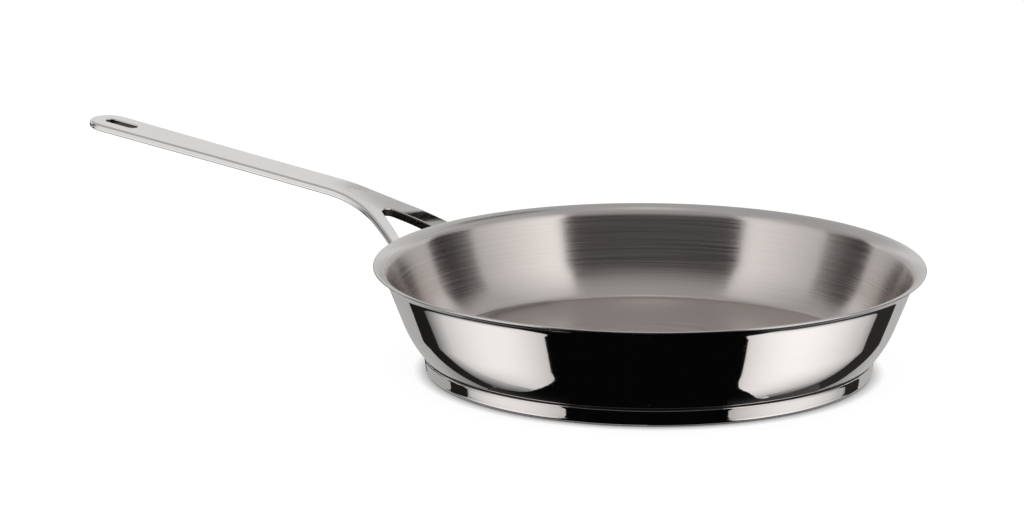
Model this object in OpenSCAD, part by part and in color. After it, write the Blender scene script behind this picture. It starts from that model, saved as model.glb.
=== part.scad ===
// Omelette pan in polished stainless steel, with a Y-forked cast handle.
// Millimetres, +Z up. The origin is the centre of the base where it rests,
// and the handle points along -X.
//
// The thin steel pan has a flared pouring rim. Under its floor a brazed
// aluminium disc spreads the heat, and a magnetic steel capsule closes it in.
// The handle's two arms are welded to the wall, just below the rim.

/* [Pan] */
// Diameter over the pouring rim
lip_d = 280; // [200:1:340]
// Height from the table to the top of the rim
pan_h = 54.4; // [42:0.1:75]
// Thickness of the pan's steel sheet
wall_t = 1.2; // [0.8:0.1:2]
// How far the wall bows outwards from a straight line, in degrees
wall_bow = 4.2; // [2:0.1:6]
// Radius of the flare under the pouring rim
flare_r = 8; // [5:0.5:12]
// Lean of the rim's last millimetres, in degrees from upright
lip_lean = 79; // [60:1:88]
// Radius on the pan's lower corner
corner_r = 4.7; // [3:0.1:8]

/* [Base] */
// Diameter of the heat-spreading base
base_d = 228.6; // [160:0.2:280]
// Height of the base below the pan's floor
base_h = 8.4; // [5:0.1:12]
// Thickness of the capsule's sheet
cap_t = 0.8; // [0.5:0.1:1.5]
// Thickness of the braze between pan and base
braze_t = 0.2; // [0.1:0.05:0.5]
// Radius on the base's lower edge
foot_r = 2.4; // [1:0.1:4]

/* [Handle] */
// Reach of the handle's tip from the pan's centre
reach = 352; // [260:0.5:430]
// Width of the handle's shaft
shaft_w = 22; // [16:0.5:28]
// Width of the rounded tip
tip_w = 24.6; // [17:0.2:32]
// Thickness of the handle
handle_t = 3.8; // [3:0.1:6]
// Upward slope of the shaft, in degrees
slope = 6.2; // [0:0.1:15]
// Height of the shaft's top above the rim, where it starts to bend
rise = 17.8; // [10:0.1:30]
// Distance from the rim to the start of the bend
bend_start = 59; // [45:1:80]
// Radius of the bend
bend_r = 91; // [60:1:140]
// How far the bend turns down, in degrees
bend_a = 32; // [20:1:40]
// How far each arm's bend line is turned from square, in degrees
bend_skew = 21.8; // [0:0.1:30]
// Width of the handle's eased edges
ease = 0.6; // [0.2:0.1:1]

/* [Fork] */
// Width of each arm
arm_w = 9.3; // [6:0.1:12]
// Angle between each arm and the shaft's line, seen from above
arm_spread = 27.7; // [18:0.1:34]
// Distance from the rim to where the arms start to part
neck = 46; // [35:1:60]
// Radius of the hollow between shaft and arm
hollow_r = 60; // [40:1:80]
// Radius of the crotch between the arms
crotch_r = 5.4; // [2:0.1:7]
// Radius of the weld bead round each arm's foot
weld_leg = 1.2; // [0.6:0.1:2]

/* [Hanging slot] */
// Length of the slot
slot_l = 19.5; // [12:0.5:30]
// Width of the slot
slot_w = 6.6; // [4:0.1:10]
// Distance from the tip to the middle of the slot
slot_in = 18.2; // [12:0.1:30]

/* [Hidden] */
$fn = 96;
fine = 144;

lip_r = lip_d / 2;
base_r = min(base_d, lip_d - 36) / 2;

// Points of the pan's outline are [radius, height]. An angle in them is the
// sheet's lean from upright, and out(a) points out of a sheet that leans a.
function out(a) = [cos(a), -sin(a)];
lean_guess = atan((lip_r - 6 - base_r) / (pan_h - base_h - 5));
corner_a = max(40, lean_guess + 14);
corner_c = [base_r + 0.9 - corner_r * cos(corner_a), base_h + corner_r];
corner_end = corner_c + corner_r * out(corner_a);
lip_c = [lip_r - wall_t / 2, pan_h - wall_t / 2];
flare_c = lip_c + (flare_r + wall_t / 2) * out(lip_lean);
chord = flare_c - flare_r * out(22) - corner_end;
wall_a = atan(chord[0] / chord[1]) - wall_bow;
wall_top = flare_c - flare_r * out(wall_a);
wall_dir = [sin(wall_a), cos(wall_a)];
bow = (wall_top - corner_end) * out(wall_a);
belly_r = bow / (1 - cos(corner_a - wall_a));
belly_c = corner_end - belly_r * out(corner_a);
wall_low = belly_c + belly_r * out(wall_a);

// The capsule's side leans in a little towards its foot.
cap_r = base_r - 0.1;
cap_low_r = cap_r - 0.8;
cap_top = base_h - braze_t;
rim_r = cap_t / 2;

// The handle is drawn pointing along +X and turned round at the end.
// Its shaft lies in a plane through bend_o, with these three directions.
bend_o = [lip_r + bend_start, 0, pan_h + rise];
shaft_x = [cos(slope), 0, sin(slope)];
shaft_z = [-sin(slope), 0, cos(slope)];
half_w = shaft_w / 2;
tip_r = tip_w / 2;
tip_x = reach - tip_r;
widen_x = lip_r + 0.56 * (reach - lip_r);

// Each arm bends about a line in the shaft's plane.
skew_y = cos(bend_skew) * [0, 1, 0] - sin(bend_skew) * shaft_x;
skew_x = cross(skew_y, shaft_z);

// Edges of the arm on the +Y side, seen from above.
neck_p = [lip_r + neck, half_w];
arm_p = neck_p + hollow_r * [-sin(arm_spread), 1 - cos(arm_spread)];
arm_dir = [-cos(arm_spread), sin(arm_spread)];
arm_out = [sin(arm_spread), cos(arm_spread)];
inner_a = arm_spread + 3.5;
foot_x = lip_r + 4;
foot_y = arm_p[1] + (arm_p[0] - foot_x) * tan(arm_spread) - arm_w / cos(arm_spread);
apex_x = foot_x + foot_y / tan(inner_a);
crotch_x = apex_x - crotch_r / sin(inner_a);
arm_len = 36;

// Where the lines of an arm's edges would cross x = 0, seen from above.
outer_0 = arm_p[1] + arm_p[0] * tan(arm_spread);
inner_0 = apex_x * tan(inner_a);

// Half width of the handle at x, seen from above.
function outer_y(x) =
    x < arm_p[0] ? outer_0 - x * tan(arm_spread)
    : x < neck_p[0] ? half_w + hollow_r - sqrt(pow(hollow_r, 2) - pow(neck_p[0] - x, 2))
    : x < widen_x ? half_w
    : half_w + (tip_r - half_w) * (min(x, tip_x) - widen_x) / (tip_x - widen_x);

// Half width of the gap between the arms at x.
function inner_y(x) =
    x < crotch_x + crotch_r * sin(inner_a) ? inner_0 - x * tan(inner_a)
    : sqrt(max(0, pow(crotch_r, 2) - pow(x - crotch_x, 2)));

// Depth under the shaft's plane of the plate's layer at deep, s past the bend
// line.
function drop(s, deep) =
    let (r = bend_r - deep)
    s < 0 ? deep
    : s < r * sin(bend_a) ? bend_r - sqrt(pow(r, 2) - pow(s, 2))
    : bend_r - r * cos(bend_a) + (s - r * sin(bend_a)) * tan(bend_a);

// Height of the same layer at the plan point x, y. The shaft's slope shifts the
// point a little, so d is found in a few rounds.
function layer_z(x, y, deep, d = 0, rounds = 5) =
    let (a = (x - bend_o[0] - d * sin(slope)) / cos(slope),
         next = drop(-a * cos(bend_skew) - y * sin(bend_skew), deep))
    rounds == 0 ? bend_o[2] + a * sin(slope) - d * cos(slope)
    : layer_z(x, y, deep, next, rounds - 1);

module frame_at(x, y, z, o) {
    multmatrix([[x[0], y[0], z[0], o[0]],
                [x[1], y[1], z[1], o[1]],
                [x[2], y[2], z[2], o[2]],
                [0, 0, 0, 1]])
        children();
}

// Half outline of what a sheet's face encloses, for the face that lies t in
// from the pan's outside. Its open edges are moved out by more.
module enclosed(t, more) {
    inward = -t * out(wall_a);
    far = 2 * belly_r;
    top = flare_c - 3 * flare_r * out(lip_lean + more);
    translate([-more, base_h + t])
        square([corner_c[0] + more, top[1] - base_h - t]);
    translate(corner_c)
        circle(r = corner_r - t, $fn = fine);
    translate(belly_c)
        intersection() {
            circle(r = belly_r - t, $fn = fine);
            polygon([[0, 0], far * out(corner_a), far * out((corner_a + wall_a) / 2),
                     far * out(wall_a)]);
        }
    difference() {
        polygon([[-more, base_h + t + 1], wall_low + inward, wall_top + inward, flare_c, top,
                 [-more, top[1]]]);
        translate(flare_c)
            circle(r = flare_r + t, $fn = fine);
    }
}

// Half outline of the pan's sheet, from the middle of the floor to the rim.
module sheet_outline() {
    difference() {
        enclosed(0, 0);
        enclosed(wall_t, 6);
    }
    translate(lip_c)
        circle(d = wall_t, $fn = 24);
}

// Half outline of a dish with a rounded lower edge and a leaning side.
module dish_outline(low_r, top_r, z0, z1, foot, rim) {
    translate([0, z0])
        square([low_r - foot, foot]);
    translate([low_r - foot, z0 + foot])
        circle(r = foot, $fn = 48);
    polygon([[0, z0 + foot], [low_r, z0 + foot], [top_r, z1 - rim], [0, z1 - rim]]);
    if (rim > 0) {
        translate([0, z1 - rim - 0.01])
            square([top_r - rim, rim + 0.01]);
        translate([top_r - rim, z1 - rim])
            circle(r = rim, $fn = 24);
    }
}

// Solid block inside the wall's outer face, with the face moved out by grow.
module wall_block(grow) {
    low = wall_low + grow * out(wall_a) - 3 * wall_dir;
    high = wall_top + grow * out(wall_a) + 3 * wall_dir;
    rotate_extrude($fn = 2 * fine)
        polygon([[lip_r / 3, 0], [low[0], 0], low, high, [lip_r / 3, high[1]]]);
}

module pan_body() {
    color("silver")
        rotate_extrude($fn = fine)
            sheet_outline();
}

// The braze fills the gap between the capsule and the pan's rounded corner.
module base_braze() {
    color("dimgray")
        rotate_extrude($fn = fine)
            difference() {
                translate([0, cap_top])
                    square([cap_r - rim_r, corner_r / 2]);
                translate([-1, base_h])
                    square([corner_c[0] + 1, corner_r]);
                translate(corner_c)
                    circle(r = corner_r, $fn = fine);
            }
}

module base_core() {
    color("lightgray")
        rotate_extrude($fn = fine)
            dish_outline(cap_low_r - cap_t, cap_r - cap_t, cap_t, cap_top, foot_r - cap_t, 0);
}

module base_capsule() {
    color("gainsboro")
        rotate_extrude($fn = fine)
            difference() {
                dish_outline(cap_low_r, cap_r, 0, cap_top, foot_r, rim_r);
                dish_outline(cap_low_r - cap_t, cap_r - cap_t, cap_t, cap_top, foot_r - cap_t, 0);
            }
}

// Side view of what lies below the bent line at radius r about the bend, with
// its other edges moved out by more.
module below_bend(r, more) {
    far = 2 * bend_r;
    a0 = -4;
    a1 = bend_a / 2;
    a2 = bend_a + 4;
    translate([0, -bend_r]) {
        translate([0, -more])
            square([reach + more, r + more]);
        intersection() {
            circle(r = r, $fn = fine);
            polygon([[0, 0], far * [-sin(a0), cos(a0)], far * [-sin(a1), cos(a1)],
                     far * [-sin(a2), cos(a2)]]);
        }
        rotate(bend_a)
            translate([-arm_len - more, -more])
                square([arm_len + more, r + more]);
    }
}

// Bent plate that one side of the handle is cut from, thicker by grow.
module bent_plate(grow) {
    frame_at(skew_x, shaft_z, -skew_y, bend_o)
        linear_extrude(height = reach, center = true)
            difference() {
                below_bend(bend_r + grow, 0);
                below_bend(bend_r - handle_t - grow, 5);
            }
}

// The +Y half of the handle seen from above, wider by grow on all sides.
module half_outline(grow) {
    arm_far = arm_p + grow * arm_out + (lip_r / 2) * arm_dir;
    crotch = crotch_r - grow;
    tangent = (crotch - 0.03) * [sin(inner_a), cos(inner_a)];
    inner_far = tangent + (lip_r / 2) * [-cos(inner_a), sin(inner_a)];
    wide = tip_r + grow;
    difference() {
        polygon([[arm_far[0], 0], arm_far, arm_p + grow * arm_out, neck_p + [0, grow],
                 [widen_x, half_w + grow], [tip_x, wide - 0.03], [tip_x + 2 * wide, wide - 0.03],
                 [tip_x + 2 * wide, 0]]);
        difference() {
            translate([tip_x, -1])
                square(3 * wide);
            translate([tip_x, 0])
                circle(r = wide, $fn = 72);
        }
        translate(neck_p + [0, hollow_r])
            circle(r = hollow_r - grow + 0.03, $fn = 2 * fine);
        translate([crotch_x, 0]) {
            circle(r = crotch, $fn = 48);
            polygon([[0, 0], tangent, inner_far, [inner_far[0], -1], [0, -1]]);
        }
        translate([0, -2 * tip_w])
            square([2 * reach, 2 * tip_w]);
    }
}

// Where the bend ends along an arm's edge with the plan line y = y0 - x * t.
function bend_end(y0, t) =
    let (d = bend_r * (1 - cos(bend_a)), k = cos(bend_skew) / cos(slope))
    ((bend_o[0] + d * sin(slope)) * k - y0 * sin(bend_skew) - bend_r * sin(bend_a))
    / (k - t * sin(bend_skew));

// Where an edge of the arm meets the wall.
function foot_point(y0, t, deep, x = lip_r - 12, rounds = 16) =
    let (y = y0 - x * t, z = layer_z(x, y, deep),
         r = wall_low[0] + (z - wall_low[1]) * tan(wall_a))
    rounds == 0 ? [x, y, z]
    : foot_point(y0, t, deep, sqrt(pow(r, 2) - pow(y, 2)), rounds - 1);

// Everything on the handle's side of a chamfer. Its points are [x, y, cut],
// along an edge seen from above. With side -1 the gap lies on the -Y side of
// the edge, and with up -1 the chamfer is on the plate's lower face.
module chamfer_bound(points, side, up) {
    deep = up > 0 ? 0 : handle_t;
    last = points[len(points) - 1];
    line = [for (p = points)
        [p[0], (side * p[1] + up * layer_z(p[0], p[1], deep) - p[2]) / sqrt(2)]];
    end_x = side > 0 ? [] : [[last[0], reach], [2 * reach, reach]];
    frame_at([1, 0, 0], [0, side, up] / sqrt(2), [0, -up, side] / sqrt(2), [0, 0, 0])
        linear_extrude(height = 2 * reach, center = true)
            polygon(concat(line, end_x, [[2 * reach, -reach], [line[0][0], -reach]]));
}

// The rounded tip's chamfer is a double cone, and all behind the tip is kept.
module tip_bound() {
    r = tip_r - ease;
    at = (tip_x - bend_o[0]) / cos(slope);
    frame_at(shaft_x, [0, 1, 0], shaft_z, bend_o + at * shaft_x) {
        rotate_extrude($fn = 72)
            polygon([[0, r], [r + handle_t / 2, -handle_t / 2], [0, -handle_t - r]]);
        translate([-2 * reach, -reach, -reach])
            cube([2 * reach, 2 * reach, 2 * reach]);
    }
}

// Chamfers on the outer edge run from the pan to the tip. The arm's inner ones
// fade out in the crotch.
module half_handle() {
    far_x = lip_r - 60;
    end_out = bend_end(outer_0, tan(arm_spread));
    end_in = bend_end(inner_0, tan(inner_a));
    start_x = max(bend_o[0] - half_w * tan(bend_skew), neck_p[0]);
    tan_x = crotch_x + crotch_r * sin(inner_a);
    outer_x = concat(far_x, [for (i = [0:18]) end_out + (start_x - end_out) * i / 18],
                     [for (x = [widen_x, tip_x]) if (x > start_x + 1) x], reach + 9);
    inner_x = concat(far_x, [for (i = [0:6]) end_in + (tan_x - end_in) * i / 6],
                     [for (a = [inner_a + 10:10:84]) crotch_x + crotch_r * sin(a)]);
    fade = ease / (crotch_r * cos(inner_a));
    outer = [for (x = outer_x) [x, outer_y(x), ease]];
    inner = concat([for (x = inner_x) [x, inner_y(x), min(ease, fade * inner_y(x))]],
                   [[crotch_x + crotch_r, 0, -0.05]]);
    intersection() {
        linear_extrude(height = 2 * pan_h + reach)
            half_outline(0);
        bent_plate(0);
        chamfer_bound(outer, 1, 1);
        chamfer_bound(outer, 1, -1);
        chamfer_bound(inner, -1, 1);
        chamfer_bound(inner, -1, -1);
        tip_bound();
    }
}

module slot_cut() {
    at = (reach - slot_in - bend_o[0]) / cos(slope);
    gap = max(slot_l - slot_w, 0.2);
    frame_at(shaft_x, [0, 1, 0], shaft_z, bend_o + at * shaft_x)
        translate([0, 0, -2 * handle_t])
            linear_extrude(height = 4 * handle_t) {
                square([gap, slot_w], center = true);
                for (x = [-gap / 2, gap / 2])
                    translate([x, 0])
                        circle(d = slot_w, $fn = 48);
            }
}

module handle() {
    color("silver")
        rotate([0, 0, 180])
            difference() {
                union() {
                    half_handle();
                    mirror([0, 1, 0])
                        half_handle();
                }
                slot_cut();
                wall_block(0);
            }
}

// Round bar of radius r that runs from a to b, and past both by a little.
module bar(a, b, r) {
    past = 0.4 * r;
    z = (b - a) / norm(b - a);
    x = cross([1, 0, 0], z) / norm(cross([1, 0, 0], z));
    frame_at(x, cross(z, x), z, a - past * z)
        cylinder(r = r, h = norm(b - a) + 2 * past, $fn = 36);
}

// Weld bead on the +Y arm of the unturned handle. It follows the seam round the
// arm's foot.
module bead() {
    corners = [foot_point(outer_0, tan(arm_spread), 0),
               foot_point(outer_0, tan(arm_spread), handle_t),
               foot_point(inner_0, tan(inner_a), handle_t),
               foot_point(inner_0, tan(inner_a), 0)];
    difference() {
        union() {
            for (i = [0:3])
                bar(corners[i], corners[(i + 1) % 4], weld_leg);
        }
        half_handle();
        wall_block(0);
    }
}

module weld_left() {
    color("darkgray")
        mirror([1, 0, 0])
            bead();
}

module weld_right() {
    color("darkgray")
        rotate([0, 0, 180])
            bead();
}

pan_body();
base_braze();
base_core();
base_capsule();
handle();
weld_left();
weld_right();
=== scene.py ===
"""Looks of the omelette pan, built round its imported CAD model.

The CAD model is the fixed frame, in metres, with the pan standing on z = 0 and
its handle along -X. Each sub-assembly below is a class that holds its sizes in
millimetres, builds its meshes inside the CAD's outlines and dresses them. The
spun sheets and the weld beads come from Geometry Nodes, and the forked handle
is a grid of quads laid over its plan and bent like the cast blade.
"""

import logging
import math
from dataclasses import dataclass, field
from enum import Enum, IntEnum
from typing import Any, Mapping, Sequence

import bmesh
import bpy
from mathutils import Matrix, Vector


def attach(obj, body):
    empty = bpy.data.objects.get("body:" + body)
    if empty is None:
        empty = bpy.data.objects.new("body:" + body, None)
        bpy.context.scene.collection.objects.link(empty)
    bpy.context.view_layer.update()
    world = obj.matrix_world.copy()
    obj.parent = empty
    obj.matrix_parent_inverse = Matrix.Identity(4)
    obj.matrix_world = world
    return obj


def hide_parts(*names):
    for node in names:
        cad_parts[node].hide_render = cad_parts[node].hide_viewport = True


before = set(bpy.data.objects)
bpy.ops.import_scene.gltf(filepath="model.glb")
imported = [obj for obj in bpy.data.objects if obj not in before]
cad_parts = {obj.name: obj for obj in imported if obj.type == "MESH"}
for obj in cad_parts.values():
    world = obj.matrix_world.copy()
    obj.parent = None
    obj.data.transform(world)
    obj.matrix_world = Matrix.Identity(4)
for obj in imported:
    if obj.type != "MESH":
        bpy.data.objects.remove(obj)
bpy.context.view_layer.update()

LOG = logging.getLogger("omelette_pan")
MM = 0.001
Point2 = tuple[float, float]
Point3 = tuple[float, float, float]


# Shared helpers


def linear(hex_colour: str) -> tuple[float, float, float, float]:
    """Turn an sRGB hex colour into the linear colour that the shaders take.

    Args:
        hex_colour: Colour such as "#C8C6C2".

    Returns:
        Linear red, green, blue and an alpha of 1.
    """
    parts = [int(hex_colour[i:i + 2], 16) / 255 for i in (1, 3, 5)]
    red, green, blue = [c / 12.92 if c <= 0.04045 else ((c + 0.055) / 1.055) ** 2.4 for c in parts]
    return red, green, blue, 1.0


def add_node(tree: bpy.types.NodeTree, kind: str, settings: Mapping[str, Any] | None = None,
             inputs: Mapping[str | int, Any] | None = None) -> bpy.types.Node:
    """Add a node, set its properties and fill its inputs.

    Args:
        tree: Shader or geometry node tree.
        kind: The node's type, such as "ShaderNodeMath".
        settings: Properties of the node by name.
        inputs: Input name or index, with a value, or an output socket to link.

    Returns:
        The new node.
    """
    node = tree.nodes.new(kind)
    for name, value in (settings or {}).items():
        setattr(node, name, value)
    for key, value in (inputs or {}).items():
        if isinstance(value, bpy.types.NodeSocket):
            tree.links.new(value, node.inputs[key])
        else:
            node.inputs[key].default_value = value
    return node


def out_of(lean: float) -> Vector:
    """Direction out of a sheet that leans by an angle, as radius and height.

    Args:
        lean: The sheet's lean from upright, in degrees.

    Returns:
        Unit vector in the half plane of a spun outline.
    """
    a = math.radians(lean)
    return Vector((math.cos(a), -math.sin(a)))


def arc(centre: Vector, radius: float, lean_0: float, lean_1: float, count: int,
        side: int = 1) -> list[Vector]:
    """Points of a spun outline along an arc.

    Args:
        centre: Centre of the arc, as radius and height.
        radius: Radius of the arc.
        lean_0: Lean at the first point, in degrees.
        lean_1: Lean at the last point, in degrees.
        count: Number of steps.
        side: 1 where the centre lies inside the sheet's curve, -1 outside it.

    Returns:
        count + 1 points.
    """
    leans = [lean_0 + (lean_1 - lean_0) * i / count for i in range(count + 1)]
    return [centre + side * radius * out_of(a) for a in leans]


def between(a: Vector, b: Vector, count: int) -> list[Vector]:
    """Evenly spaced points strictly between a and b.

    Args:
        a: First end.
        b: Last end.
        count: Number of steps from a to b.

    Returns:
        count - 1 points.
    """
    return [a.lerp(b, i / count) for i in range(1, count)]


# Finishes


class Zone(IntEnum):
    """Which finish a part of a spun outline takes."""

    OUTSIDE = 0
    LIP = 1
    INSIDE = 2


@dataclass(frozen=True)
class SteelFinish:
    """Stainless steel, whose look comes from how its surface was worked.

    Attributes:
        name: Name of the material.
        colour: Main tint in sRGB hex.
        tint: Second tint that mottles the first.
        roughness: Least and greatest roughness.
        line_mm: Width of the lines that the tool leaves, in millimetres.
        line_depth: Strength of those lines' bump.
        line_dark: How far the lines darken the tint, from 0 to 1.
        anisotropy: Stretch of the highlights across the lines.
        wave_mm: Size of the slow waviness, in millimetres.
        wave_depth: Strength of the waviness.
    """

    name: str
    colour: str
    tint: str
    roughness: tuple[float, float]
    line_mm: float
    line_depth: float
    line_dark: float
    anisotropy: float
    wave_mm: float
    wave_depth: float

    def grain(self, tree: bpy.types.NodeTree) -> bpy.types.NodeSocket:
        """Coordinates that are fine across the tool's circles and long along them.

        Args:
            tree: The material's node tree.

        Returns:
            Vector socket for a noise.
        """
        place = add_node(tree, "ShaderNodeTexCoord").outputs["Object"]
        xyz = add_node(tree, "ShaderNodeSeparateXYZ", inputs={0: place})
        x2 = add_node(tree, "ShaderNodeMath", {"operation": "MULTIPLY"},
                      {0: xyz.outputs["X"], 1: xyz.outputs["X"]})
        r2 = add_node(tree, "ShaderNodeMath", {"operation": "MULTIPLY_ADD"},
                      {0: xyz.outputs["Y"], 1: xyz.outputs["Y"], 2: x2.outputs[0]})
        radius = add_node(tree, "ShaderNodeMath", {"operation": "SQRT"}, {0: r2.outputs[0]})
        fine = 1.0 / (self.line_mm * MM)
        across = add_node(tree, "ShaderNodeMath", {"operation": "MULTIPLY"},
                          {0: radius.outputs[0], 1: fine})
        upward = add_node(tree, "ShaderNodeMath", {"operation": "MULTIPLY"},
                          {0: xyz.outputs["Z"], 1: fine})
        flat = add_node(tree, "ShaderNodeVectorMath", {"operation": "NORMALIZE"}, {0: place})
        turn = add_node(tree, "ShaderNodeSeparateXYZ", inputs={0: flat.outputs[0]})
        along = add_node(tree, "ShaderNodeMath", {"operation": "MULTIPLY_ADD"},
                         {0: turn.outputs["Y"], 1: 1.3, 2: upward.outputs[0]})
        around = add_node(tree, "ShaderNodeMath", {"operation": "MULTIPLY"},
                          {0: turn.outputs["X"], 1: 1.3})
        return add_node(tree, "ShaderNodeCombineXYZ",
                        inputs={"X": across.outputs[0], "Y": along.outputs[0],
                                "Z": around.outputs[0]}).outputs[0]

    def material(self) -> bpy.types.Material:
        """Build the material, or fetch it if it exists already.

        Returns:
            The material.
        """
        if self.name in bpy.data.materials:
            return bpy.data.materials[self.name]
        mat = bpy.data.materials.new(self.name)
        mat.use_nodes = True
        tree = mat.node_tree
        tree.nodes.clear()
        lines = add_node(tree, "ShaderNodeTexNoise", {"noise_dimensions": "3D"},
                         {"Vector": self.grain(tree), "Scale": 1.0, "Detail": 3.0,
                          "Roughness": 0.62})
        place = add_node(tree, "ShaderNodeTexCoord").outputs["Object"]
        wave = add_node(tree, "ShaderNodeTexNoise", {"noise_dimensions": "3D"},
                        {"Vector": place, "Scale": 1.0 / (self.wave_mm * MM), "Detail": 1.5,
                         "Roughness": 0.4})
        mottle = add_node(tree, "ShaderNodeMix", {"data_type": "RGBA"},
                          {0: wave.outputs[0], 6: linear(self.colour), 7: linear(self.tint)})
        depth = add_node(tree, "ShaderNodeMapRange", inputs={
            "Value": lines.outputs[0], "From Min": 0.30, "From Max": 0.70,
            "To Min": 1.0 - self.line_dark, "To Max": 1.0})
        colour = add_node(tree, "ShaderNodeMix",
                          {"data_type": "RGBA", "blend_type": "MULTIPLY"},
                          {0: 1.0, 6: mottle.outputs[2], 7: depth.outputs[0]})
        rough = add_node(tree, "ShaderNodeMapRange", inputs={
            "Value": lines.outputs[0], "From Min": 0.3, "From Max": 0.7,
            "To Min": self.roughness[0], "To Max": self.roughness[1]})
        slow = add_node(tree, "ShaderNodeBump", inputs={
            "Strength": self.wave_depth, "Distance": self.wave_mm * MM * 0.02,
            "Height": wave.outputs[0]})
        bump = add_node(tree, "ShaderNodeBump", inputs={
            "Strength": self.line_depth, "Distance": self.line_mm * MM * 0.05,
            "Height": lines.outputs[0], "Normal": slow.outputs[0]})
        tangent = add_node(tree, "ShaderNodeTangent", {"direction_type": "RADIAL", "axis": "Z"})
        shader = add_node(tree, "ShaderNodeBsdfPrincipled", inputs={
            "Base Color": colour.outputs[2], "Metallic": 1.0, "Roughness": rough.outputs[0],
            "Anisotropic": self.anisotropy, "Anisotropic Rotation": 0.25,
            "Normal": bump.outputs[0], "Tangent": tangent.outputs[0]})
        add_node(tree, "ShaderNodeOutputMaterial", inputs={"Surface": shader.outputs[0]})
        return mat


# Deep-drawn stainless steel, buffed to a mirror outside: sharp reflections, with
# only a breath of the buffing wheel's circles left in them.
MIRROR_STEEL = SteelFinish("mirror_buffed_stainless", "#E9E4E0", "#E2DDDA", (0.02, 0.05), 0.6,
                           0.03, 0.02, 0.0, 38.0, 0.10)
# The same sheet inside, brushed in circles with a fine belt: reflections smear up
# and down the wall, and fine rings show. Real grit lines are 0.05 mm apart and are
# drawn ten times coarser here, so that they show.
SATIN_STEEL = SteelFinish("satin_brushed_stainless", "#DBD4D0", "#D4CDC9", (0.16, 0.26), 0.45,
                          0.30, 0.12, 0.82, 45.0, 0.08)
# The pouring rim is brushed too, then softened by hand, so it stays paler.
LIP_STEEL = SteelFinish("softened_rim_stainless", "#DCD9D6", "#D5D2CF", (0.16, 0.26), 0.6,
                        0.12, 0.05, 0.45, 30.0, 0.08)
# The capsule's underside is faced on a lathe: broader rings, a little duller.
FACED_STEEL = SteelFinish("lathe_faced_stainless", "#C9C8C5", "#BFBEBB", (0.22, 0.36), 0.9,
                          0.45, 0.14, 0.70, 60.0, 0.10)
# Investment-cast stainless steel, polished by hand: bright, with a slow waviness.
CAST_STEEL = SteelFinish("hand_polished_cast_stainless", "#E8E6E4", "#E0DDDB", (0.06, 0.12), 1.4,
                         0.04, 0.03, 0.0, 16.0, 0.18)
# The same casting on the inner walls of the slot and between the arms. It is rougher,
# and its darker colour is painted shade for those recesses.
SHADE_PAINTED_CASTING = SteelFinish("cast_stainless_painted_recess_shade", "#716C62", "#5E5A51", (0.20, 0.34), 0.8,
                              0.20, 0.15, 0.0, 5.0, 0.30)
# Bead of a fusion weld, brushed clean: greyer and rougher than what it joins.
WELD_STEEL = SteelFinish("cleaned_weld_stainless", "#B9B4AE", "#A39C95", (0.28, 0.46), 0.7,
                         0.30, 0.12, 0.0, 3.0, 0.35)
# Aluminium braze squeezed out of the joint: dull, granular and dark.
BRAZE_METAL = SteelFinish("dull_braze_seam", "#4C4A48", "#383635", (0.42, 0.62), 0.7,
                          0.40, 0.20, 0.0, 2.5, 0.35)
# Rolled aluminium disc, sealed in and never polished.
ROLLED_ALUMINIUM = SteelFinish("rolled_aluminium_disc", "#D3D4D6", "#C7C8CA", (0.30, 0.45), 0.8,
                               0.20, 0.08, 0.30, 30.0, 0.15)


# Spun pieces


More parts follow.
